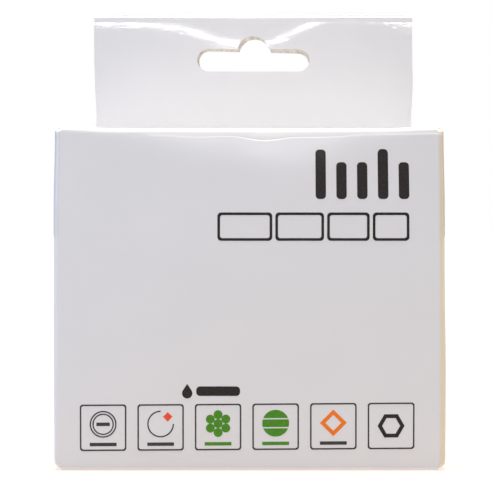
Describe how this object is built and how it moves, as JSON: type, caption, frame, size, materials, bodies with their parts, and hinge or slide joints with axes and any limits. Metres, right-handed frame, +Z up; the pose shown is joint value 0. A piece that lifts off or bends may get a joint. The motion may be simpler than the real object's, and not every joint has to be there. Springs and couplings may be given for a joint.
{
  "type": "hang-tab retail carton",
  "caption": "Closed upright carton of glossy white board for a small boxed refill, with tucked lid and bottom, round folded edges, a printed front and a folded hang tab with a peg slot.",
  "frame": {"origin": "middle of the foot print at the bottom closure, centred over the whole depth with the print", "axes": "+Z up along the height, -Y out of the printed front panel, +X to the right of someone who looks at the front"},
  "size_m": [0.102, 0.038, 0.124],
  "materials": {
    "laminated_board": "white coated board under a clear gloss laminate, with warm grey cut edges",
    "black_ink": "solid black print under gloss laminate",
    "grey_ink": "dark grey line print under gloss laminate",
    "green_ink": "leaf green print under gloss laminate",
    "orange_ink": "orange print under gloss laminate",
    "red_ink": "warm red print under gloss laminate"
  },
  "bodies": {
    "root": {"carton": "laminated_board", "print_title": "black_ink", "print_colour_mark": "black_ink", "print_badge_frames": "grey_ink", "print_badge_grey": "grey_ink", "print_badge_green": "green_ink", "print_badge_orange": "orange_ink", "print_badge_red": "red_ink", "print_badge_black": "black_ink"}
  },
  "joints": []
}
